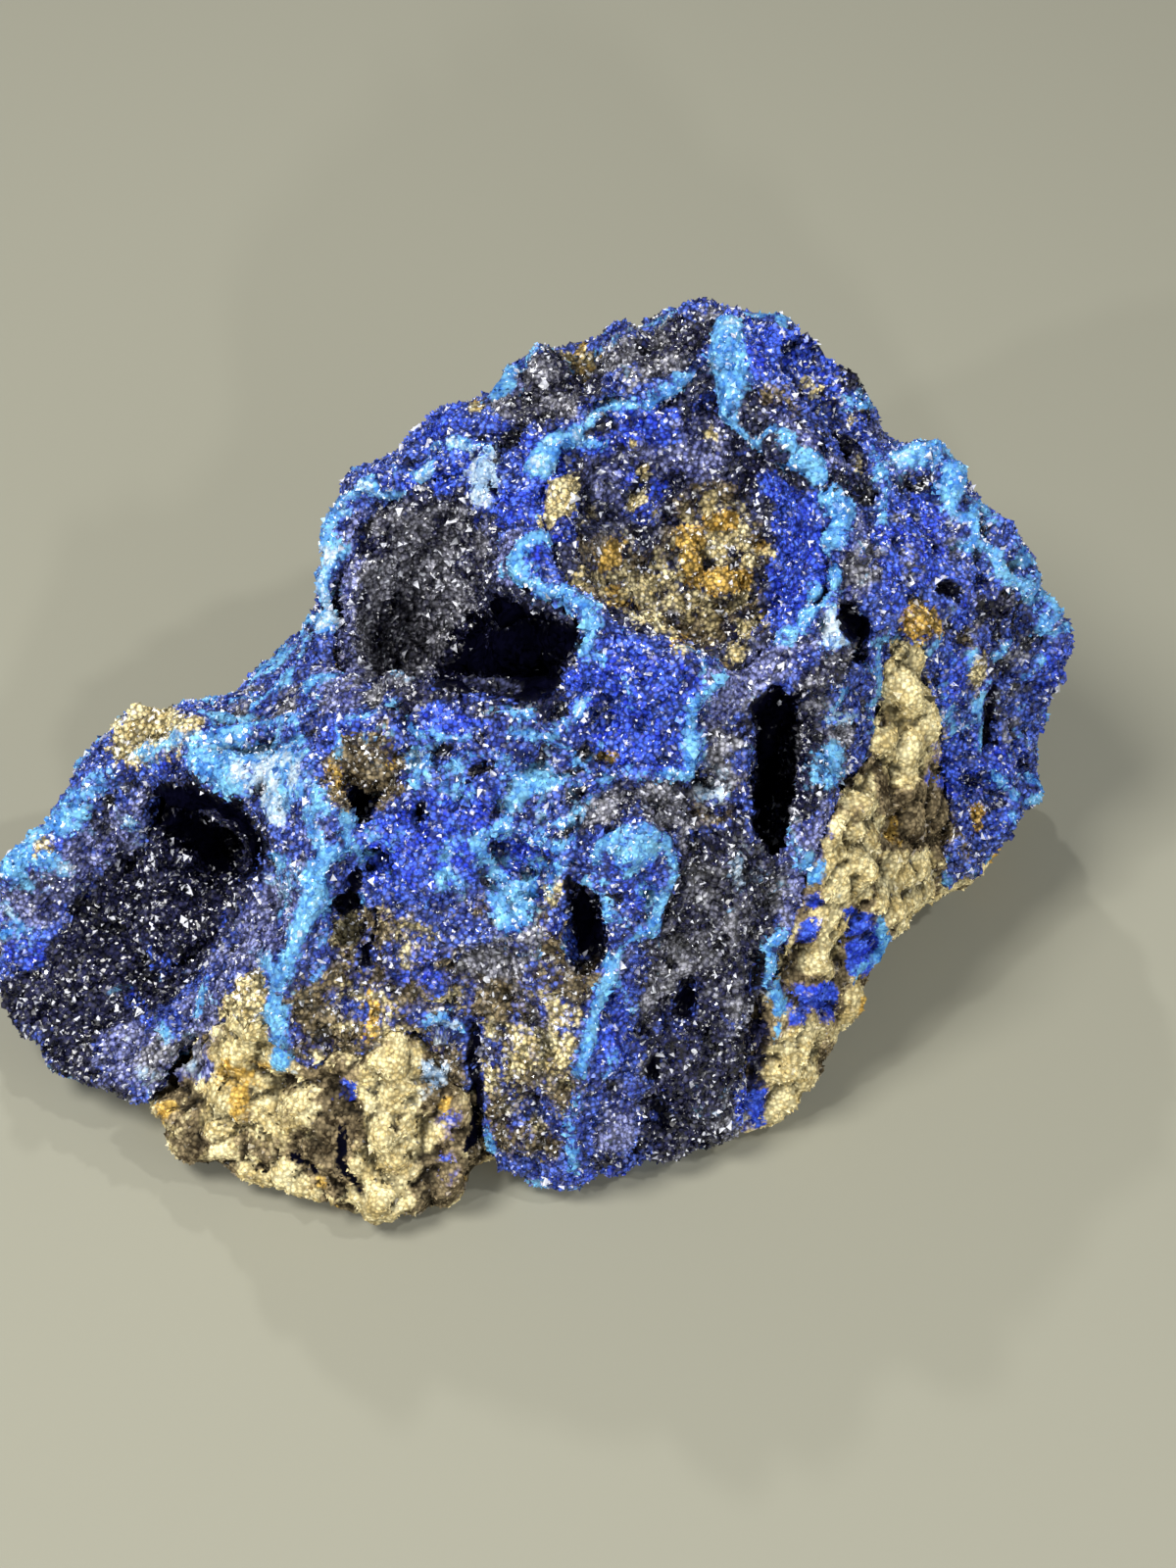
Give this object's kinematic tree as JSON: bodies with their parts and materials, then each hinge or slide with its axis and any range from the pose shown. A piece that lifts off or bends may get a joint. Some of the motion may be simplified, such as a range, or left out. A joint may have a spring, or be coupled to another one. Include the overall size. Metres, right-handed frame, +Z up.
{
  "type": "azurite specimen",
  "caption": "Cavernous azurite specimen: blue crusts and drusy hollows on cream limonite rock, resting on its flat sawn underside.",
  "frame": {"origin": "middle of the box of the whole specimen, at the sawn underside", "axes": "+X to the right as the specimen is looked at from the front, along its longest extent; +Y to the back; +Z up, its shortest extent"},
  "size_m": [0.0552, 0.0396, 0.0297],
  "materials": {
    "azurite": "fine sparkling crystals, light blue along the ridges",
    "limonite": "rough, earthy, cream to ochre",
    "druse": "dark blue-black sparkling druse"
  },
  "bodies": {
    "root": {"azurite_mass": "azurite", "limonite_rock": "limonite", "druse_trough": "druse", "druse_vug": "druse", "druse_bowl": "druse"}
  },
  "joints": []
}
